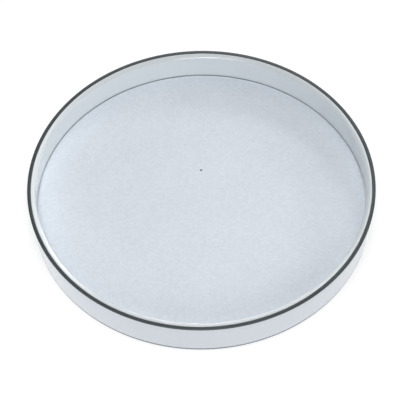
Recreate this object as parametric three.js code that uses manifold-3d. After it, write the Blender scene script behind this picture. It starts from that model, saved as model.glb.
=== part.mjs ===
// A lazy susan turntable: a walled plastic tray that turns on a hidden base through a ring of caged steel balls.
// Millimetres, +Z up. The origin is on the table, on the axis that the tray turns about.

import * as THREE from "three";
import { mergeVertices } from "three/addons/utils/BufferGeometryUtils.js";
import Module from "manifold-3d";

const wasm = await Module();
wasm.setup();

// ---- Driving dimensions -------------------------------------------------------------------------------------------

const rimRadius = 152.5; // outside of the rim band: a 12 inch turntable
const totalHeight = 40.6;
const skirtGap = 4; // from the table to the skirt's lower edge
const floorThickness = 2.4;
const linerTop = 14.2; // the surface that things stand on
const linerThickness = 1.2;
const fitGap = 0.3; // between pieces that touch or nearly touch

const bandInner = rimRadius - 2.9;
const wallOuterTop = rimRadius - 0.4; // the wall is solid and drawn in towards its foot
const wallOuterBottom = rimRadius - 3.7;
const wallInnerBottom = rimRadius - 6.7;
const lipRadius = rimRadius - 7.6; // the shoulder slopes down to a lip that leans in a little over the wall
const lipHeight = totalHeight - 1.5;

const ballRadius = 2.5;
const ballCount = 16;
const trackRadius = 92;
const footCount = 6;
const ribCount = 12;

const tableSides = 60; // facets round the tray, its band and its liner
const baseSides = 48;
const smallSides = 24;

// ---- Levels worked out from them ----------------------------------------------------------------------------------

const linerBottom = linerTop - linerThickness;
const floorTop = linerBottom - fitGap;
const floorBottom = floorTop - floorThickness;
const upperTrack = floorBottom - 0.4; // the ball track is a shallow raised ring
const ballHeight = upperTrack - fitGap - ballRadius;
const lowerTrack = ballHeight - ballRadius - fitGap;
const baseTop = lowerTrack - fitGap;
const baseThickness = 2.4;
const baseBottom = baseTop - baseThickness;

const cageThickness = 1.6;
const guideClear = 2.9; // from the middle of the track to each guide rib
const guideWidth = 1.5;
const guideGap = cageThickness / 2 + 0.4; // from the ball centres to the ends of the guide ribs
const innerGuide = trackRadius - guideClear - guideWidth;
const outerGuide = trackRadius + guideClear + guideWidth;

const postRadius = 5;
const bossRadius = 9; // the tray's boss over the hub, the bush's flange and the washer are all this wide
const hubUnderside = 5;
const hubTop = hubUnderside + 2;
const hubBore = 7;
const hubRecess = 12;
const hubRadius = 14;
const bossBottom = hubTop + 1.6;
const washerTop = hubUnderside - fitGap;
const washerThickness = 0.8;
const screwRadius = 1.8;
const screwTop = floorBottom + 1.1;

const ribWidth = 2;
const ribSunk = 0.5; // how far a rib runs into what it stiffens

// ---- Materials ----------------------------------------------------------------------------------------------------

const finish = (color, roughness, metalness = 0) => new THREE.MeshStandardMaterial({ color, roughness, metalness });

const trayPlastic = finish("#d0d8e0", 0.35);
const bandRubber = finish("#484f52", 0.6);
const linerVinyl = finish("#d5dce4", 0.7);
const basePlastic = finish("#c2c8cc", 0.5);
const slickPlastic = finish("#eceae2", 0.4);
const steel = finish("#b8babc", 0.2, 1);
const footRubber = finish("#2f3336", 0.85);

// ---- Tools --------------------------------------------------------------------------------------------------------

const turntable = new THREE.Group();

function addPiece(name, geometry, material, x = 0, y = 0, z = 0) {
  const mesh = new THREE.Mesh(geometry, material);
  mesh.name = name;
  mesh.position.set(x, y, z);
  turntable.add(mesh);
}

// A solid of revolution about Z. The outline is a list of [radius, height], anticlockwise with radius to the right.
function turned(outline, sides) {
  const points = outline.map(([radius, height]) => new THREE.Vector2(radius, height));
  const onAxis = outline[0][0] === 0 && outline.at(-1)[0] === 0;
  if (!onAxis) {
    points.push(points[0].clone());
  }
  return new THREE.LatheGeometry(points, sides).rotateX(Math.PI / 2);
}

function toSolid(geometry) {
  const bare = geometry.clone();
  bare.deleteAttribute("normal");
  bare.deleteAttribute("uv");
  const merged = mergeVertices(bare, 1e-4);
  const vertProperties = merged.attributes.position.array;
  const triVerts = new Uint32Array(merged.index.array);
  return new wasm.Manifold(new wasm.Mesh({ numProp: 3, vertProperties, triVerts }));
}

function toGeometry(solid) {
  const mesh = solid.getMesh();
  const corners = new Float32Array(mesh.numVert * 3);
  for (let i = 0; i < mesh.numVert; i++) {
    corners.set(mesh.vertProperties.subarray(i * mesh.numProp, i * mesh.numProp + 3), i * 3);
  }
  const geometry = new THREE.BufferGeometry();
  geometry.setAttribute("position", new THREE.BufferAttribute(corners, 3));
  geometry.setIndex(new THREE.BufferAttribute(new Uint32Array(mesh.triVerts), 1));
  const flat = geometry.toNonIndexed();
  flat.computeVertexNormals();
  return flat;
}

function join(base, additions) {
  return additions.reduce((solid, addition) => solid.add(toSolid(addition)), toSolid(base));
}

function cut(solid, tools) {
  return tools.reduce((left, tool) => left.subtract(toSolid(tool)), solid);
}

// A round plug about a vertical axis at (x, y), from the height low to the height high.
function plug(radius, low, high, sides, x = 0, y = 0) {
  return new THREE.CylinderGeometry(radius, radius, high - low, sides)
    .rotateX(Math.PI / 2)
    .translate(x, y, (low + high) / 2);
}

// Calls make(x, y, angle) at equal steps round a circle.
function around(count, radius, make, start = 0) {
  return Array.from({ length: count }, (_, i) => {
    const angle = start + (i * 2 * Math.PI) / count;
    return make(radius * Math.cos(angle), radius * Math.sin(angle), angle);
  });
}

// Straight ribs that run out from one radius to another, between two heights.
function radialRibs(inner, outer, low, high) {
  return around(
    ribCount,
    (inner + outer) / 2,
    (x, y, angle) =>
      new THREE.BoxGeometry(outer - inner, ribWidth, high - low).rotateZ(angle).translate(x, y, (low + high) / 2),
    Math.PI / ribCount,
  );
}

// ---- The tray and what turns with it ------------------------------------------------------------------------------

const bandThickness = 1.4;
const tongueInner = bandInner + 0.6;
const tongueOuter = tongueInner + 0.9;
const tongueLength = 2.2;
const bandBottom = totalHeight - bandThickness;
const seatHeight = bandBottom - fitGap; // the step that the band's cap rests on
const grooveBottom = bandBottom - tongueLength - fitGap;

function trayGeometry() {
  const shoulderOuter = bandInner - fitGap;
  const shoulderTop = totalHeight - 0.2;
  const rounding = 1.5;
  const lipArc = [0, 30, 60, 90].map((degrees) => {
    const angle = THREE.MathUtils.degToRad(degrees);
    return [
      lipRadius + rounding - rounding * Math.sin(angle),
      lipHeight - rounding + rounding * Math.cos(angle),
    ];
  });
  const edge = 0.8;
  const body = turned(
    [
      [0, screwTop + fitGap],
      [screwRadius + fitGap, screwTop + fitGap],
      [screwRadius + fitGap, washerTop + fitGap],
      [postRadius, washerTop + fitGap],
      [postRadius, bossBottom],
      [bossRadius, bossBottom],
      [bossRadius, floorBottom],
      [innerGuide, floorBottom],
      [innerGuide, ballHeight + guideGap],
      [innerGuide + guideWidth, ballHeight + guideGap],
      [innerGuide + guideWidth, upperTrack],
      [outerGuide - guideWidth, upperTrack],
      [outerGuide - guideWidth, ballHeight + guideGap],
      [outerGuide, ballHeight + guideGap],
      [outerGuide, floorBottom],
      [wallInnerBottom, floorBottom],
      [wallInnerBottom, skirtGap],
      [wallOuterBottom - edge, skirtGap],
      [wallOuterBottom, skirtGap + edge],
      [wallOuterTop, seatHeight],
      [tongueOuter + fitGap, seatHeight],
      [tongueOuter + fitGap, grooveBottom],
      [tongueInner - fitGap, grooveBottom],
      [tongueInner - fitGap, seatHeight],
      [shoulderOuter, seatHeight],
      [shoulderOuter, shoulderTop],
      ...lipArc,
      [wallInnerBottom, floorTop],
      [0, floorTop],
    ],
    tableSides,
  );
  const ribBottom = floorBottom - 1.9;
  const ribTop = floorBottom + ribSunk;
  const solid = join(body, [
    ...radialRibs(bossRadius - ribSunk, innerGuide + ribSunk, ribBottom, ribTop),
    ...radialRibs(outerGuide - ribSunk, wallInnerBottom + ribSunk, ribBottom, ribTop),
  ]);
  return toGeometry(solid);
}

function rimBandGeometry() {
  const soft = 0.3; // how much the corners are eased
  return turned(
    [
      [tongueInner, bandBottom - tongueLength],
      [tongueOuter, bandBottom - tongueLength],
      [tongueOuter, bandBottom],
      [rimRadius, bandBottom],
      [rimRadius, totalHeight - soft],
      [rimRadius - 2 * soft, totalHeight],
      [bandInner + 2 * soft, totalHeight],
      [bandInner, totalHeight - soft],
      [bandInner, bandBottom],
      [tongueInner, bandBottom],
    ],
    tableSides,
  );
}

// The liner is a loose disc with one small moulding dimple in its upper face.
function linerGeometry() {
  const linerRadius = wallInnerBottom - 1;
  const edge = 0.4;
  const disc = turned(
    [
      [0, linerBottom],
      [linerRadius, linerBottom],
      [linerRadius, linerTop - edge],
      [linerRadius - edge, linerTop],
      [0, linerTop],
    ],
    tableSides,
  );
  const dimpleRadius = 1.2;
  const dimpleDepth = 0.5;
  const dimpleOffset = 35.6; // from the axis, towards the back
  const dimple = plug(dimpleRadius, linerTop - dimpleDepth, linerTop + 1, 12, 0, dimpleOffset);
  return toGeometry(cut(toSolid(disc), [dimple]));
}

function washerGeometry() {
  const hole = screwRadius + fitGap;
  const washerBottom = washerTop - washerThickness;
  return turned(
    [
      [hole, washerBottom],
      [bossRadius, washerBottom],
      [bossRadius, washerTop],
      [hole, washerTop],
    ],
    smallSides,
  );
}

// A pan-head screw, driven upwards, with a cross recess in its head.
function screwGeometry() {
  const headRadius = 4.2;
  const headEdge = 0.7; // the height of the slope round the head
  const headTop = washerTop - washerThickness - fitGap;
  const headBottom = headTop - 1.8;
  const tip = 1; // the length of the shank's tapered tip
  const blank = turned(
    [
      [0, headBottom],
      [headRadius - 1, headBottom],
      [headRadius, headBottom + headEdge],
      [headRadius, headTop],
      [screwRadius, headTop],
      [screwRadius, screwTop - tip],
      [screwRadius - 0.8, screwTop],
      [0, screwTop],
    ],
    smallSides,
  );
  const slotLength = 4.4;
  const slotWidth = 1;
  const slotDepth = 1.2;
  const slot = () => new THREE.BoxGeometry(slotLength, slotWidth, 2 * slotDepth);
  const slots = [slot().translate(0, 0, headBottom), slot().rotateZ(Math.PI / 2).translate(0, 0, headBottom)];
  return toGeometry(cut(toSolid(blank), slots));
}

addPiece("tray", trayGeometry(), trayPlastic);
addPiece("floor_liner", linerGeometry(), linerVinyl);
addPiece("rim_band", rimBandGeometry(), bandRubber);
addPiece("pivot_washer", washerGeometry(), steel);
addPiece("pivot_screw", screwGeometry(), steel);

// ---- The base and its feet ----------------------------------------------------------------------------------------

const footRadius = 9;
const footCircle = 108;
const footHeight = 2.5;
const footStart = Math.PI / 2;

function baseGeometry() {
  const baseRadius = 122;
  const lipWidth = 1.6;
  const lipTop = floorBottom - 3.8;
  const body = turned(
    [
      [hubBore, hubUnderside],
      [hubRecess, hubUnderside],
      [hubRecess, baseBottom],
      [baseRadius - 1, baseBottom],
      [baseRadius, baseBottom + 1],
      [baseRadius, lipTop],
      [baseRadius - lipWidth, lipTop],
      [baseRadius - lipWidth, baseTop],
      [outerGuide, baseTop],
      [outerGuide, ballHeight - guideGap],
      [outerGuide - guideWidth, ballHeight - guideGap],
      [outerGuide - guideWidth, lowerTrack],
      [innerGuide + guideWidth, lowerTrack],
      [innerGuide + guideWidth, ballHeight - guideGap],
      [innerGuide, ballHeight - guideGap],
      [innerGuide, baseTop],
      [hubRadius, baseTop],
      [hubRadius, hubTop],
      [hubBore, hubTop],
    ],
    baseSides,
  );
  const ribBottom = baseTop - ribSunk;
  const ribTop = baseTop + 1.6;
  const solid = join(body, [
    ...radialRibs(hubRadius - ribSunk, innerGuide + ribSunk, ribBottom, ribTop),
    ...radialRibs(outerGuide - ribSunk, baseRadius - lipWidth + ribSunk, ribBottom, ribTop),
  ]);
  const pocketTop = footHeight + fitGap;
  const pockets = around(
    footCount,
    footCircle,
    (x, y) => plug(footRadius + fitGap, 0, pocketTop, smallSides, x, y),
    footStart,
  );
  return toGeometry(cut(solid, pockets));
}

// The bush's flange lies on the hub, and its sleeve lines the hub's bore.
function bushGeometry() {
  const bore = postRadius + fitGap;
  const sleeve = hubBore - fitGap;
  const flangeBottom = hubTop + fitGap;
  const flangeTop = flangeBottom + 1;
  return turned(
    [
      [bore, hubUnderside],
      [sleeve, hubUnderside],
      [sleeve, flangeBottom],
      [bossRadius, flangeBottom],
      [bossRadius, flangeTop],
      [bore, flangeTop],
    ],
    32,
  );
}

function footGeometry() {
  const edge = 0.6;
  return turned(
    [
      [0, 0],
      [footRadius - edge, 0],
      [footRadius, edge],
      [footRadius, footHeight],
      [0, footHeight],
    ],
    smallSides,
  );
}

addPiece("base_plate", baseGeometry(), basePlastic);
addPiece("pivot_bush", bushGeometry(), slickPlastic);
around(
  footCount,
  footCircle,
  (x, y, angle) => {
    const number = 1 + Math.round(((angle - footStart) * footCount) / (2 * Math.PI));
    addPiece(`foot_${number}`, footGeometry(), footRubber, x, y);
  },
  footStart,
);

// ---- The balls and their cage -------------------------------------------------------------------------------------

const pocketRadius = ballRadius + fitGap + 0.1; // a ball is a little looser in the cage

// The cage is a thin ring with a round eye at each ball.
function cageGeometry() {
  const low = ballHeight - cageThickness / 2;
  const high = ballHeight + cageThickness / 2;
  const halfWidth = 2.4;
  const ring = turned(
    [
      [trackRadius - halfWidth, low],
      [trackRadius + halfWidth, low],
      [trackRadius + halfWidth, high],
      [trackRadius - halfWidth, high],
    ],
    baseSides,
  );
  const eyeRadius = 5;
  const eyes = around(ballCount, trackRadius, (x, y) => plug(eyeRadius, low, high, 16, x, y));
  const pockets = around(ballCount, trackRadius, (x, y) => plug(pocketRadius, 0, totalHeight, 12, x, y));
  return toGeometry(cut(join(ring, eyes), pockets));
}

addPiece("ball_cage", cageGeometry(), slickPlastic);
around(ballCount, trackRadius, (x, y, angle) => {
  const number = 1 + Math.round((angle * ballCount) / (2 * Math.PI));
  const name = `ball_${String(number).padStart(2, "0")}`;
  addPiece(name, new THREE.IcosahedronGeometry(ballRadius, 1), steel, x, y, ballHeight);
});

export default turntable;
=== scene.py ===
"""The looks of a lazy susan turntable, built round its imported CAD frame.

Sizes are in millimetres here and in metres in the scene.
"""

import math

import bmesh
import bpy
from mathutils import Matrix, Vector


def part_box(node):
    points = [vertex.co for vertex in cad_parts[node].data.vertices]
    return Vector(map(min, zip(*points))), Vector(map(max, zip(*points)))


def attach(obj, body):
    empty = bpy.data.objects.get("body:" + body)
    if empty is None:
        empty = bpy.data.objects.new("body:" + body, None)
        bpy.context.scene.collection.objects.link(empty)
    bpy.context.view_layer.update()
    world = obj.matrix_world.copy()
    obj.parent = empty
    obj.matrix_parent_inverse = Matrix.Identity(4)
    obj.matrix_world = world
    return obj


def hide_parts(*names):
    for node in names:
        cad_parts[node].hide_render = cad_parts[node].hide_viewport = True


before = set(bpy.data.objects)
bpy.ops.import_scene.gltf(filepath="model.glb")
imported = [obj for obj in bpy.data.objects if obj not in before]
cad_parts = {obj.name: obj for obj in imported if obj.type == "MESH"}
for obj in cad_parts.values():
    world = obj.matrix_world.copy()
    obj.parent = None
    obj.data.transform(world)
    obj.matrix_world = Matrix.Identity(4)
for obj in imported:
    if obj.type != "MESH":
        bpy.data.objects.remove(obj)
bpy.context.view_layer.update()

MM = 0.001

# ---- Sizes, from the frame where it holds them ---------------------------------------------------


def low(node, axis=2):
    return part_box(node)[0][axis] / MM


def high(node, axis=2):
    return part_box(node)[1][axis] / MM


RIM_RADIUS = high("rim_band", 0)
TOP = high("rim_band")
SKIRT_BOTTOM = low("tray")
GAP = 0.3  # the clearance between pieces that touch or nearly touch

LINER_TOP = high("floor_liner")
LINER_BOTTOM = low("floor_liner")
LINER_RADIUS = high("floor_liner", 0)
FLOOR_THICKNESS = 2.4
FLOOR_TOP = LINER_BOTTOM - GAP
FLOOR_BOTTOM = FLOOR_TOP - FLOOR_THICKNESS

LINER_GAP = 1  # from the liner's edge to the wall
WALL_INNER_BOTTOM = LINER_RADIUS + LINER_GAP
WALL_OUTER_TOP = RIM_RADIUS - 0.4
WALL_OUTER_BOTTOM = RIM_RADIUS - 3.7
LIP_RADIUS = RIM_RADIUS - 7.6  # the shoulder slopes down to a lip that leans in a little over the wall
LIP_HEIGHT = TOP - 1.5
SHOULDER_TOP = TOP - 0.2

MARK_X = 0
MARK_Y = 35.6
MARK_RADIUS = 1.2
MARK_DEPTH = 0.5

BALLS = sorted(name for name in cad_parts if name.startswith("ball_") and name != "ball_cage")
FEET = sorted(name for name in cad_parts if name.startswith("foot_"))
BALL_RADIUS = (high("ball_01") - low("ball_01")) / 2
BALL_HEIGHT = (high("ball_01") + low("ball_01")) / 2
TRACK_RADIUS = (high("ball_01", 0) + low("ball_01", 0)) / 2
UPPER_TRACK = high("ball_01") + GAP
LOWER_TRACK = low("ball_01") - GAP
BASE_BOTTOM = low("base_plate")
BASE_TOP = LOWER_TRACK - GAP
BASE_RADIUS = high("base_plate", 0)
BASE_LIP_WIDTH = 1.6
BASE_LIP_DROP = 3.8  # from the underside of the tray's floor down to the lip round the base
FOOT_TOP = high("foot_1")
FOOT_CIRCLE = (high("foot_1", 1) + low("foot_1", 1)) / 2
FOOT_RADIUS = (high("foot_1", 0) - low("foot_1", 0)) / 2

POST_RADIUS = 5
BOSS_RADIUS = 9  # the tray's boss over the hub, the bush's flange and the washer are all this wide
HUB_TOP = high("base_plate")
HUB_UNDERSIDE = 5
HUB_BORE = 7
HUB_RECESS = 12
HUB_RADIUS = 14
BOSS_BOTTOM = HUB_TOP + 1.6

GUIDE_CLEAR = 2.9  # from the middle of the track to each guide rib
GUIDE_WIDTH = 1.5
GUIDE_INNER = TRACK_RADIUS - GUIDE_CLEAR - GUIDE_WIDTH
GUIDE_OUTER = TRACK_RADIUS + GUIDE_CLEAR + GUIDE_WIDTH
GUIDE_GAP = 1.2  # from the ball centres to the ends of the guide ribs

RIB_COUNT = 12
RIB_WIDTH = 2
RIB_SUNK = 0.5  # how far a rib runs into what it stiffens
TRAY_RIB_DEPTH = 1.9
BASE_RIB_HEIGHT = 1.6

# ---- Mesh tools ----------------------------------------------------------------------------------

GREAT_SIDES = 240  # facets round the tray, its band and its liner
BASE_SIDES = 120
SMALL_SIDES = 64
HOLE_SIDES = 48
EYE_SIDES = 40
MARK_SIDES = 24
FILLET_STEP = 15  # degrees
SHARP_EDGE = 35  # degrees
BAR_EASE = 0.25  # the bevel on a bar's edges
WELD_DISTANCE = 0.004  # corners nearer than this become one


def rounded(outline):
    """The outline as plain points. A corner is (radius, height), or (radius, height, fillet) to round it."""
    points = []
    for i, corner in enumerate(outline):
        here = Vector(corner[:2])
        if len(corner) == 2:
            points.append(here)
            continue
        fillet = corner[2]
        before = (Vector(outline[i - 1][:2]) - here).normalized()
        after = (Vector(outline[(i + 1) % len(outline)][:2]) - here).normalized()
        half = before.angle(after) / 2
        reach = fillet / math.tan(half)
        centre = here + (before + after).normalized() * fillet / math.sin(half)
        start = here + before * reach - centre
        turn = start.angle_signed(here + after * reach - centre)
        steps = max(2, math.ceil(abs(turn) / math.radians(FILLET_STEP)))
        for step in range(steps + 1):
            angle = -turn * step / steps
            points.append(centre + Matrix.Rotation(angle, 2) @ start)
    return points


def turned(name, outline, sides):
    """A mesh object turned about Z. Its outline starts and ends on the axis, or else closes on itself."""
    closed = outline[0][0] > 0
    mesh = bmesh.new()
    rings = []
    for radius, height in rounded(outline):
        if radius == 0:
            rings.append([mesh.verts.new((0, 0, height * MM))])
            continue
        ring = []
        for side in range(sides):
            angle = 2 * math.pi * side / sides
            place = (radius * MM * math.cos(angle), radius * MM * math.sin(angle), height * MM)
            ring.append(mesh.verts.new(place))
        rings.append(ring)
    pairs = list(zip(rings, rings[1:]))
    if closed:
        pairs.append((rings[-1], rings[0]))
    for below, above in pairs:
        for side in range(sides):
            following = (side + 1) % sides
            if len(below) == 1:
                mesh.faces.new((below[0], above[following], above[side]))
            elif len(above) == 1:
                mesh.faces.new((below[side], below[following], above[0]))
            else:
                mesh.faces.new((below[side], below[following], above[following], above[side]))
    bmesh.ops.recalc_face_normals(mesh, faces=mesh.faces)
    return mesh_object(name, mesh)


def mesh_object(name, mesh):
    data = bpy.data.meshes.new(name)
    mesh.to_mesh(data)
    mesh.free()
    made = bpy.data.objects.new(name, data)
    bpy.context.scene.collection.objects.link(made)
    return made


def plug(radius, bottom, top, x, y, sides):
    """A round cutter about a vertical axis."""
    made = turned("cutter", [(0, bottom), (radius, bottom), (radius, top), (0, top)], sides)
    made.data.transform(Matrix.Translation((x * MM, y * MM, 0)))
    return made


def bar(inner, outer, bottom, top, width, angle):
    """A straight bar that runs out along one direction, with eased edges."""
    mesh = bmesh.new()
    bmesh.ops.create_cube(mesh, size=1)
    bmesh.ops.scale(mesh, vec=((outer - inner) * MM, width * MM, (top - bottom) * MM), verts=mesh.verts)
    middle = ((outer + inner) / 2 * MM, 0, (top + bottom) / 2 * MM)
    bmesh.ops.translate(mesh, vec=middle, verts=mesh.verts)
    bmesh.ops.bevel(mesh, geom=mesh.edges, offset=BAR_EASE * MM, segments=2, affect="EDGES", profile=0.5)
    bmesh.ops.rotate(mesh, matrix=Matrix.Rotation(angle, 3, "Z"), verts=mesh.verts)
    return mesh_object("bar", mesh)


def weld(data):
    """Closes the slivers that a boolean leaves along its seams."""
    mesh = bmesh.new()
    mesh.from_mesh(data)
    bmesh.ops.remove_doubles(mesh, verts=mesh.verts, dist=WELD_DISTANCE * MM)
    bmesh.ops.dissolve_degenerate(mesh, edges=mesh.edges, dist=WELD_DISTANCE * MM)
    mesh.to_mesh(data)
    mesh.free()


def combine(made, others, operation):
    """Joins or cuts made by the others, one boolean for them all, and removes them."""
    group = bpy.data.collections.new("operands")
    for other in others:
        bpy.context.scene.collection.objects.unlink(other)
        group.objects.link(other)
    modifier = made.modifiers.new("combine", "BOOLEAN")
    modifier.operation = operation
    modifier.operand_type = "COLLECTION"
    modifier.collection = group
    modifier.solver = "MANIFOLD"
    bpy.context.view_layer.update()
    result = bpy.data.meshes.new_from_object(made.evaluated_get(bpy.context.evaluated_depsgraph_get()))
    made.modifiers.clear()
    made.data = result
    weld(result)
    for other in others:
        bpy.data.objects.remove(other)
    bpy.data.collections.remove(group)


def smooth(made):
    """Smooth shading that keeps the sharp edges."""
    for face in made.data.polygons:
        face.use_smooth = True
    made.data.set_sharp_from_angle(angle=math.radians(SHARP_EDGE))


def finish_piece(made, material, body, slot, *nodes):
    smooth(made)
    made.data.materials.clear()
    made.data.materials.append(material)
    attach(made, body)
    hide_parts(*nodes)


def steps_round(count, start):
    return [start + 2 * math.pi * i / count for i in range(count)]


# ---- Materials -----------------------------------------------------------------------------------


def srgb(red, green, blue):
    """An 8-bit screen colour as Blender's linear colour."""

    def linear(value):
        value /= 255
        return value / 12.92 if value <= 0.04045 else ((value + 0.055) / 1.055) ** 2.4

    return (linear(red), linear(green), linear(blue), 1)


def new_material(name, roughness, **sockets):
    material = bpy.data.materials.new(name)
    material.use_nodes = True
    shader = material.node_tree.nodes["Principled BSDF"]
    shader.inputs["Roughness"].default_value = roughness
    for socket, value in sockets.items():
        shader.inputs[socket.replace("_", " ")].default_value = value
    return material, shader


def add_node(material, kind, **values):
    made = material.node_tree.nodes.new(kind)
    for name, value in values.items():
        if hasattr(made, name):
            setattr(made, name, value)
        else:
            made.inputs[name.replace("_", " ")].default_value = value
    return made


def noise(material, scale, detail, roughness=0.5):
    """A noise texture in object space, so that the grain has a real size."""
    place = add_node(material, "ShaderNodeTexCoord")
    texture = add_node(material, "ShaderNodeTexNoise", Scale=scale, Detail=detail, Roughness=roughness)
    material.node_tree.links.new(place.outputs["Object"], texture.inputs["Vector"])
    return texture.outputs["Fac"]


def ranged(material, source, bottom, top, start=0.3, end=0.7):
    """The source, spread from start..end to bottom..top."""
    spread = add_node(material, "ShaderNodeMapRange")
    spread.inputs["From Min"].default_value = start
    spread.inputs["From Max"].default_value = end
    spread.inputs["To Min"].default_value = bottom
    spread.inputs["To Max"].default_value = top
    material.node_tree.links.new(source, spread.inputs["Value"])
    return spread.outputs["Result"]


def blended(material, amount, first, second):
    """A colour between two colours or outputs, by an amount or output."""
    mixer = add_node(material, "ShaderNodeMix", data_type="RGBA")
    links = material.node_tree.links
    for socket, value in ((0, amount), (6, first), (7, second)):
        if isinstance(value, bpy.types.NodeSocket):
            links.new(value, mixer.inputs[socket])
        else:
            mixer.inputs[socket].default_value = value
    return mixer.outputs[2]


def bumped(material, shader, height, strength, distance):
    bump = add_node(material, "ShaderNodeBump", Strength=strength, Distance=distance)
    links = material.node_tree.links
    links.new(height, bump.inputs["Height"])
    links.new(bump.outputs["Normal"], shader.inputs["Normal"])


def grained(
    name, dark, light, roughness, patch_scale, grain_scale, grain_height, spread=0.05, speckle=0.35, **sockets
):
    """A moulded surface: soft patches of two close colours, uneven gloss and a fine grain."""
    material, shader = new_material(name, roughness, **sockets)
    links = material.node_tree.links
    patches = ranged(material, noise(material, patch_scale, 3), 0, 1)
    grain = noise(material, grain_scale, 2, 0.6)
    colour = blended(material, patches, dark, light)
    speckled = blended(material, ranged(material, grain, 0, 1), dark, light)
    links.new(blended(material, speckle, colour, speckled), shader.inputs["Base Color"])
    gloss = ranged(material, noise(material, patch_scale * 3, 4), roughness - spread, roughness + spread)
    links.new(gloss, shader.inputs["Roughness"])
    bumped(material, shader, grain, 0.5, grain_height * MM)
    return material


SKIRT_SHADE_HEIGHT = 2.8  # of the painted shade, a dark tone along the skirt's lower edge that stands for the shadow line under it


def tray_material():
    """Satin moulded plastic, in tones that depend on height and radius only.

    The outer face and the shoulder are painted slightly darker than the rest, as painted shade. The skirt's
    lower edge is painted dark as the shadow line beneath it, and the crack beside the liner is painted grey
    as the shade in that crack.
    """
    material = grained(
        "tray_plastic",
        srgb(221, 228, 231),
        srgb(227, 233, 237),
        roughness=0.16,
        patch_scale=14,
        grain_scale=900,
        grain_height=0.008,
        spread=0.03,
        Specular_IOR_Level=1.0,
    )
    shader = material.node_tree.nodes["Principled BSDF"]
    links = material.node_tree.links
    place = add_node(material, "ShaderNodeTexCoord")
    parts = add_node(material, "ShaderNodeSeparateXYZ")
    links.new(place.outputs["Object"], parts.inputs[0])
    height = parts.outputs["Z"]

    def under(top, fade):
        return ranged(material, height, 1, 0, (top - fade) * MM, top * MM)

    def inverse(amount):
        return ranged(material, amount, 1, 0, 0, 1)

    # painted shade: a dark band along the skirt's lower edge for the shadow under it
    skirt_edge_painted_shade = under(SKIRT_BOTTOM + SKIRT_SHADE_HEIGHT, 0.5)
    below_liner_top = under(LINER_TOP, 0.2)
    above_floor = ranged(material, height, 0, 1, (FLOOR_TOP + 0.1) * MM, (FLOOR_TOP + 0.2) * MM)
    flat = add_node(material, "ShaderNodeVectorMath", operation="MULTIPLY")
    flat.inputs[1].default_value = (1, 1, 0)
    links.new(place.outputs["Object"], flat.inputs[0])
    radius = add_node(material, "ShaderNodeVectorMath", operation="LENGTH")
    links.new(flat.outputs[0], radius.inputs[0])
    outside_from = WALL_OUTER_BOTTOM * MM - MM
    outside = ranged(material, radius.outputs["Value"], 0, 1, outside_from, WALL_OUTER_BOTTOM * MM)
    inside = inverse(outside)
    below_shoulder = under(LIP_HEIGHT - 0.4, 0.2)

    def product(first, second):
        node = add_node(material, "ShaderNodeMath", operation="MULTIPLY")
        links.new(first, node.inputs[0])
        links.new(second, node.inputs[1])
        return node.outputs[0]

    # painted shade: the outer face below the shoulder is toned darker
    outer_face_painted_shade = product(outside, below_shoulder)
    # painted shade: the shoulder under the band is toned darker
    shoulder_painted_shade = inverse(below_shoulder)
    # painted shade: the crack between the liner and the wall is toned grey
    crack_painted_shade = product(product(below_liner_top, above_floor), inside)
    colour = shader.inputs["Base Color"].links[0].from_socket
    # painted shade on the outer face
    colour = blended(material, outer_face_painted_shade, colour, srgb(202, 209, 217))
    # painted shade on the shoulder
    colour = blended(material, shoulder_painted_shade, colour, srgb(215, 221, 225))
    # painted shade along the skirt's lower edge
    colour = blended(material, skirt_edge_painted_shade, colour, srgb(80, 94, 108))
    # painted shade in the crack
    colour = blended(material, crack_painted_shade, colour, srgb(150, 156, 162))
    links.new(colour, shader.inputs["Base Color"])
    return material


def liner_material():
    """Matte sheet with a fine mottle, coloured dark inside its one dimple, the gate mark."""
    material = grained(
        "liner_vinyl",
        srgb(217, 224, 232),
        srgb(230, 236, 244),
        roughness=0.55,
        patch_scale=22,
        grain_scale=380,
        grain_height=0.06,
        speckle=0.75,
        Specular_IOR_Level=0.4,
    )
    shader = material.node_tree.nodes["Principled BSDF"]
    links = material.node_tree.links
    plain = shader.inputs["Base Color"].links[0].from_socket
    place = add_node(material, "ShaderNodeTexCoord")
    offset = add_node(material, "ShaderNodeVectorMath", operation="DISTANCE")
    offset.inputs[1].default_value = (MARK_X * MM, MARK_Y * MM, LINER_TOP * MM)
    links.new(place.outputs["Object"], offset.inputs[0])
    # darker inside the dimple
    inside = ranged(material, offset.outputs["Value"], 1, 0, MARK_RADIUS * 0.7 * MM, MARK_RADIUS * 1.2 * MM)
    links.new(blended(material, inside, plain, srgb(120, 100, 100)), shader.inputs["Base Color"])
    return material


TRAY_PLASTIC = tray_material()
LINER_VINYL = liner_material()
BAND_RUBBER = grained(
    "band_rubber",
    srgb(54, 62, 65),
    srgb(66, 74, 77),
    roughness=0.42,
    patch_scale=40,
    grain_scale=1400,
    grain_height=0.02,
)
BASE_PLASTIC = grained(
    "base_plastic",
    srgb(188, 194, 199),
    srgb(198, 203, 208),
    roughness=0.5,
    patch_scale=25,
    grain_scale=1100,
    grain_height=0.05,
)
SLICK_PLASTIC = grained(
    "slick_plastic",
    srgb(228, 226, 216),
    srgb(236, 234, 226),
    roughness=0.36,
    patch_scale=60,
    grain_scale=900,
    grain_height=0.02,
    Subsurface_Weight=0.15,
    Subsurface_Scale=0.001,
)
FOOT_RUBBER = grained(
    "foot_rubber",
    srgb(44, 48, 51),
    srgb(54, 58, 61),
    roughness=0.75,
    patch_scale=120,
    grain_scale=1600,
    grain_height=0.08,
)
STEEL = grained(
    "bearing_steel",
    srgb(176, 178, 180),
    srgb(190, 191, 193),
    roughness=0.16,
    patch_scale=200,
    grain_scale=2600,
    grain_height=0.004,
    Metallic=1,
)

# ---- The tray and what turns with it -------------------------------------------------------------

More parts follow.
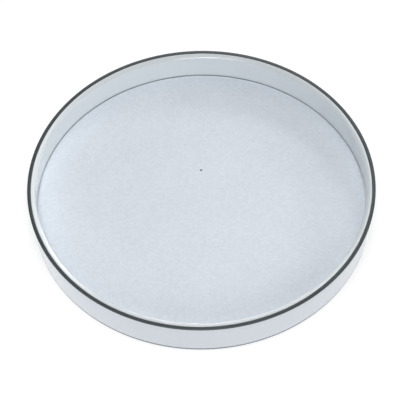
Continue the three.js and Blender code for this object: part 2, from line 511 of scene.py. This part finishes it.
BAND_INNER = RIM_RADIUS - 2.9
BAND_BOTTOM = TOP - 1.4
TONGUE_INNER = BAND_INNER + 0.6
TONGUE_OUTER = TONGUE_INNER + 0.9
TONGUE_LENGTH = 2.2
SCREW_RADIUS = 1.8
SCREW_TOP = FLOOR_BOTTOM + 1.1
WASHER_TOP = high("pivot_washer")


def radial_ribs(spans, bottom, top):
    """Straight ribs at equal steps, one along each (inner, outer) span of radius at every step."""
    ribs = []
    for angle in steps_round(RIB_COUNT, math.pi / RIB_COUNT):
        for inner, outer in spans:
            ribs.append(bar(inner - RIB_SUNK, outer + RIB_SUNK, bottom, top, RIB_WIDTH, angle))
    return ribs


def make_tray():
    hole = SCREW_RADIUS + GAP
    guide_end = BALL_HEIGHT + GUIDE_GAP
    groove_bottom = BAND_BOTTOM - TONGUE_LENGTH - GAP
    seat = BAND_BOTTOM - GAP
    tray = turned(
        "tray_body",
        [
            (0, SCREW_TOP + GAP),
            (hole, SCREW_TOP + GAP),
            (hole, WASHER_TOP + GAP, 0.2),
            (POST_RADIUS, WASHER_TOP + GAP, 0.4),
            (POST_RADIUS, BOSS_BOTTOM),
            (BOSS_RADIUS, BOSS_BOTTOM, 0.3),
            (BOSS_RADIUS, FLOOR_BOTTOM, 0.3),
            (GUIDE_INNER, FLOOR_BOTTOM, 0.3),
            (GUIDE_INNER, guide_end, 0.3),
            (GUIDE_INNER + GUIDE_WIDTH, guide_end, 0.3),
            (GUIDE_INNER + GUIDE_WIDTH, UPPER_TRACK, 0.3),
            (GUIDE_OUTER - GUIDE_WIDTH, UPPER_TRACK, 0.3),
            (GUIDE_OUTER - GUIDE_WIDTH, guide_end, 0.3),
            (GUIDE_OUTER, guide_end, 0.3),
            (GUIDE_OUTER, FLOOR_BOTTOM, 0.3),
            (WALL_INNER_BOTTOM, FLOOR_BOTTOM, 1),
            (WALL_INNER_BOTTOM, SKIRT_BOTTOM, 0.5),
            (WALL_OUTER_BOTTOM, SKIRT_BOTTOM, 0.8),
            (WALL_OUTER_TOP, seat, 0.1),
            (TONGUE_OUTER + GAP, seat, 0.1),
            (TONGUE_OUTER + GAP, groove_bottom, 0.2),
            (TONGUE_INNER - GAP, groove_bottom, 0.2),
            (TONGUE_INNER - GAP, seat, 0.1),
            (BAND_INNER - GAP, seat),
            (BAND_INNER - GAP, SHOULDER_TOP, 0.3),
            (LIP_RADIUS, LIP_HEIGHT, 1.5),
            (WALL_INNER_BOTTOM, FLOOR_TOP, 0.25),
            (0, FLOOR_TOP),
        ],
        GREAT_SIDES,
    )
    ribs = radial_ribs(
        [(BOSS_RADIUS, GUIDE_INNER), (GUIDE_OUTER, WALL_INNER_BOTTOM)],
        FLOOR_BOTTOM - TRAY_RIB_DEPTH,
        FLOOR_BOTTOM + RIB_SUNK,
    )
    combine(tray, ribs, "UNION")
    finish_piece(tray, TRAY_PLASTIC, "tray", "tray_plastic", "tray")


def make_band():
    band = turned(
        "rim_band_soft",
        [
            (TONGUE_INNER, BAND_BOTTOM - TONGUE_LENGTH, 0.2),
            (TONGUE_OUTER, BAND_BOTTOM - TONGUE_LENGTH, 0.2),
            (TONGUE_OUTER, BAND_BOTTOM, 0.1),
            (RIM_RADIUS, BAND_BOTTOM, 0.15),
            (RIM_RADIUS, TOP, 0.45),
            (BAND_INNER, TOP, 0.45),
            (BAND_INNER, BAND_BOTTOM, 0.1),
            (TONGUE_INNER, BAND_BOTTOM, 0.1),
        ],
        GREAT_SIDES,
    )
    finish_piece(band, BAND_RUBBER, "tray", "rim_rubber", "rim_band")


def make_liner():
    liner = turned(
        "floor_liner_sheet",
        [
            (0, LINER_BOTTOM),
            (LINER_RADIUS, LINER_BOTTOM, 0.15),
            (LINER_RADIUS, LINER_TOP, 0.6),
            (0, LINER_TOP),
        ],
        GREAT_SIDES,
    )
    dimple = plug(MARK_RADIUS, LINER_TOP - MARK_DEPTH, LINER_TOP + 1, MARK_X, MARK_Y, MARK_SIDES)
    combine(liner, [dimple], "DIFFERENCE")
    finish_piece(liner, LINER_VINYL, "tray", "liner", "floor_liner")


def make_washer():
    bottom = low("pivot_washer")
    hole = SCREW_RADIUS + GAP
    washer = turned(
        "pivot_washer_disc",
        [
            (hole, bottom, 0.1),
            (BOSS_RADIUS, bottom, 0.2),
            (BOSS_RADIUS, WASHER_TOP, 0.2),
            (hole, WASHER_TOP, 0.1),
        ],
        SMALL_SIDES,
    )
    finish_piece(washer, STEEL, "tray", "steel", "pivot_washer")


def make_screw():
    bottom = low("pivot_screw")
    head_top = low("pivot_washer") - GAP
    head_radius = 4.2
    crown_radius = 3.6
    crown_height = 1
    tip_radius = 1
    tip_length = 1
    screw = turned(
        "pivot_screw_pan",
        [
            (0, bottom),
            (crown_radius, bottom, 0.9),
            (head_radius, bottom + crown_height, 0.4),
            (head_radius, head_top, 0.15),
            (SCREW_RADIUS, head_top, 0.2),
            (SCREW_RADIUS, SCREW_TOP - tip_length, 0.2),
            (tip_radius, SCREW_TOP, 0.1),
            (0, SCREW_TOP),
        ],
        SMALL_SIDES,
    )
    reach = 2.2
    depth = 1.2
    width = 1
    slots = [bar(-reach, reach, bottom - 1, bottom + depth, width, angle) for angle in (0, math.pi / 2)]
    combine(screw, slots, "DIFFERENCE")
    finish_piece(screw, STEEL, "tray", "steel", "pivot_screw")


# ---- The base, its feet and the bearing ----------------------------------------------------------


def make_base():
    guide_end = BALL_HEIGHT - GUIDE_GAP
    lip_top = FLOOR_BOTTOM - BASE_LIP_DROP
    lip_inner = BASE_RADIUS - BASE_LIP_WIDTH
    base = turned(
        "base_plate_body",
        [
            (HUB_BORE, HUB_UNDERSIDE, 0.2),
            (HUB_RECESS, HUB_UNDERSIDE, 0.4),
            (HUB_RECESS, BASE_BOTTOM, 0.4),
            (BASE_RADIUS, BASE_BOTTOM, 1),
            (BASE_RADIUS, lip_top, 0.4),
            (lip_inner, lip_top, 0.4),
            (lip_inner, BASE_TOP, 0.5),
            (GUIDE_OUTER, BASE_TOP, 0.3),
            (GUIDE_OUTER, guide_end, 0.3),
            (GUIDE_OUTER - GUIDE_WIDTH, guide_end, 0.3),
            (GUIDE_OUTER - GUIDE_WIDTH, LOWER_TRACK, 0.3),
            (GUIDE_INNER + GUIDE_WIDTH, LOWER_TRACK, 0.3),
            (GUIDE_INNER + GUIDE_WIDTH, guide_end, 0.3),
            (GUIDE_INNER, guide_end, 0.3),
            (GUIDE_INNER, BASE_TOP, 0.3),
            (HUB_RADIUS, BASE_TOP, 0.4),
            (HUB_RADIUS, HUB_TOP, 0.5),
            (HUB_BORE, HUB_TOP, 0.2),
        ],
        BASE_SIDES,
    )
    ribs = radial_ribs(
        [(HUB_RADIUS, GUIDE_INNER), (GUIDE_OUTER, lip_inner)],
        BASE_TOP - RIB_SUNK,
        BASE_TOP + BASE_RIB_HEIGHT,
    )
    combine(base, ribs, "UNION")
    pockets = []
    for angle in steps_round(len(FEET), math.pi / 2):
        x = FOOT_CIRCLE * math.cos(angle)
        y = FOOT_CIRCLE * math.sin(angle)
        pockets.append(plug(FOOT_RADIUS + GAP, 0, FOOT_TOP + GAP, x, y, HOLE_SIDES))
    combine(base, pockets, "DIFFERENCE")
    finish_piece(base, BASE_PLASTIC, "base", "base_plastic", "base_plate")


def make_bush():
    bore = POST_RADIUS + GAP
    sleeve = HUB_BORE - GAP
    flange_bottom = HUB_TOP + GAP
    flange_top = high("pivot_bush")
    bush = turned(
        "pivot_bush_flanged",
        [
            (bore, HUB_UNDERSIDE, 0.2),
            (sleeve, HUB_UNDERSIDE, 0.2),
            (sleeve, flange_bottom, 0.1),
            (BOSS_RADIUS, flange_bottom, 0.2),
            (BOSS_RADIUS, flange_top, 0.3),
            (bore, flange_top, 0.3),
        ],
        SMALL_SIDES,
    )
    finish_piece(bush, SLICK_PLASTIC, "base", "slick_plastic", "pivot_bush")


def middle_of(node):
    corner_low, corner_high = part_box(node)
    return (corner_low + corner_high) / 2


def make_foot(node):
    """A soft pad that stands on a ring round its shallow hollow."""
    hollow = 0.2
    ring_width = 2
    foot = turned(
        node + "_pad",
        [
            (0, hollow),
            (FOOT_RADIUS - ring_width - hollow, hollow, 0.3),
            (FOOT_RADIUS - ring_width, 0, 0.1),
            (FOOT_RADIUS, 0, 0.7),
            (FOOT_RADIUS, FOOT_TOP, 0.3),
            (0, FOOT_TOP),
        ],
        SMALL_SIDES,
    )
    centre = middle_of(node)
    foot.data.transform(Matrix.Translation((centre.x, centre.y, 0)))
    finish_piece(foot, FOOT_RUBBER, "base", "foot_rubber", node)


def make_cage():
    bottom = low("ball_cage")
    top = high("ball_cage")
    half_width = 2.4
    eye_radius = 5
    pocket_radius = BALL_RADIUS + GAP + 0.1  # a ball is a little looser in the cage
    cage = turned(
        "ball_cage_ring",
        [
            (TRACK_RADIUS - half_width, bottom, 0.3),
            (TRACK_RADIUS + half_width, bottom, 0.3),
            (TRACK_RADIUS + half_width, top, 0.3),
            (TRACK_RADIUS - half_width, top, 0.3),
        ],
        BASE_SIDES,
    )
    eyes = []
    holes = []
    for ball in BALLS:
        centre = middle_of(ball) / MM
        outline = [(0, bottom), (eye_radius, bottom, 0.3), (eye_radius, top, 0.3), (0, top)]
        eye = turned("eye", outline, EYE_SIDES)
        eye.data.transform(Matrix.Translation((centre.x * MM, centre.y * MM, 0)))
        eyes.append(eye)
        holes.append(plug(pocket_radius, 0, TOP, centre.x, centre.y, EYE_SIDES))
    combine(cage, eyes, "UNION")
    combine(cage, holes, "DIFFERENCE")
    finish_piece(cage, SLICK_PLASTIC, "ball_cage", "slick_plastic", "ball_cage")


def make_ball(node):
    mesh = bmesh.new()
    bmesh.ops.create_icosphere(mesh, subdivisions=4, radius=BALL_RADIUS * MM)
    bmesh.ops.translate(mesh, vec=middle_of(node), verts=mesh.verts)
    ball = mesh_object(node + "_steel", mesh)
    finish_piece(ball, STEEL, node, "steel", node)


make_tray()
make_band()
make_liner()
make_washer()
make_screw()
make_base()
make_bush()
make_cage()
for foot_node in FEET:
    make_foot(foot_node)
for ball_node in BALLS:
    make_ball(ball_node)

# ---- Stage, light and camera ---------------------------------------------------------------------


TABLE_REACH = 6  # metres from the axis to each edge of the table
TABLE_DROP = 0.1  # from the feet down to the table
LIGHT_AIM = 0.02  # metres: the height on the axis that every light points at


def make_stage():
    mesh = bmesh.new()
    bmesh.ops.create_grid(mesh, x_segments=1, y_segments=1, size=TABLE_REACH)
    table = mesh_object("table_top", mesh)
    table.location.z = -TABLE_DROP * MM
    material, shader = new_material("white_table", 0.9, Base_Color=(0.35, 0.35, 0.35, 1))
    shader.inputs["Emission Color"].default_value = (1, 1, 1, 1)
    shader.inputs["Emission Strength"].default_value = 0.73
    shader.inputs["Specular IOR Level"].default_value = 0.1
    table.data.materials.append(material)


def soft_light(name, bearing, elevation, radiance, distance=1.3, width=0.5, height=0.5):
    """A one-sided panel aimed at the tray. The bearing runs from the back (+Y) towards the right, in degrees.

    A radiance of 1 is as bright as a white surface in full light.
    """
    light = bpy.data.lights.new(name, "AREA")
    light.shape = "RECTANGLE"
    light.size = width
    light.size_y = height
    light.energy = radiance * math.pi * width * height
    bearing = math.radians(bearing)
    elevation = math.radians(elevation)
    out = Vector((math.sin(bearing), math.cos(bearing), 0)) * math.cos(elevation)
    out.z = math.sin(elevation)
    lamp = bpy.data.objects.new(name, light)
    lamp.location = Vector((0, 0, LIGHT_AIM)) + out * distance
    lamp.rotation_euler = (-out).to_track_quat("-Z", "Y").to_euler()
    lamp.visible_camera = False
    bpy.context.scene.collection.objects.link(lamp)


def make_lights():
    """A bright white tent.

    The key is high at the front, low panels at the right light the tray's left wall, and the near lip
    reflects the panels at the back.
    """
    world = bpy.data.worlds.new("studio")
    world.use_nodes = True
    world.node_tree.nodes["Background"].inputs["Strength"].default_value = 0.1
    bpy.context.scene.world = world
    soft_light("key_front_high", 190, 65, 10.8)
    soft_light("front_low", 177, 27, 5.7)
    soft_light("right", 90, 28, 1.5)
    soft_light("right_low", 60, 12, 4.2)
    soft_light("front_right_low", 100, 12, 2.5)
    soft_light("back_high", 6, 50, 2.5, distance=0.7, width=0.3, height=0.3)
    soft_light("back_low", 0, 13, 11, width=0.3, height=0.2)
    soft_light("back_right", 21, 29, 10, width=0.3, height=0.3)
    soft_light("back_strip", 0, 24, 2.5, distance=1, width=0.4, height=0.12)
    soft_light("back_left", -12, 30, 1.6, distance=1, width=0.2, height=0.25)
    soft_light("left_card", 265, 1, 14, distance=0.5, width=0.25, height=0.05)


CAMERA_ELEVATION = math.radians(53.65)
CAMERA_DISTANCE = 14 * RIM_RADIUS * MM
CAMERA_ROLL = math.radians(-1.14)
SENSOR = 36
VIEW_SPAN = 2.3275  # the frame's width over the rim radius, at the skirt's lower edge
AIM_RIGHT = 0.004  # how far right of the frame's middle the axis stands, as a part of its width
AIM_DOWN = 0.0223


def make_camera():
    lens = bpy.data.cameras.new("camera")
    lens.sensor_width = SENSOR
    span = VIEW_SPAN * RIM_RADIUS * MM
    lens.lens = SENSOR * CAMERA_DISTANCE / span
    lens.clip_end = 50
    camera = bpy.data.objects.new("camera", lens)
    back = Vector((0, -math.cos(CAMERA_ELEVATION), math.sin(CAMERA_ELEVATION)))
    right = Vector((1, 0, 0))
    up = back.cross(right)
    foot = Vector((0, 0, SKIRT_BOTTOM * MM))
    camera.location = foot + back * CAMERA_DISTANCE
    aim = foot - right * AIM_RIGHT * span + up * AIM_DOWN * span
    level = (aim - camera.location).to_track_quat("-Z", "Y").to_matrix()
    camera.rotation_euler = (level @ Matrix.Rotation(CAMERA_ROLL, 3, "Z")).to_euler()
    bpy.context.scene.collection.objects.link(camera)
    bpy.context.scene.camera = camera
    bpy.context.scene.view_settings.view_transform = "Standard"


make_stage()
make_lights()
make_camera()
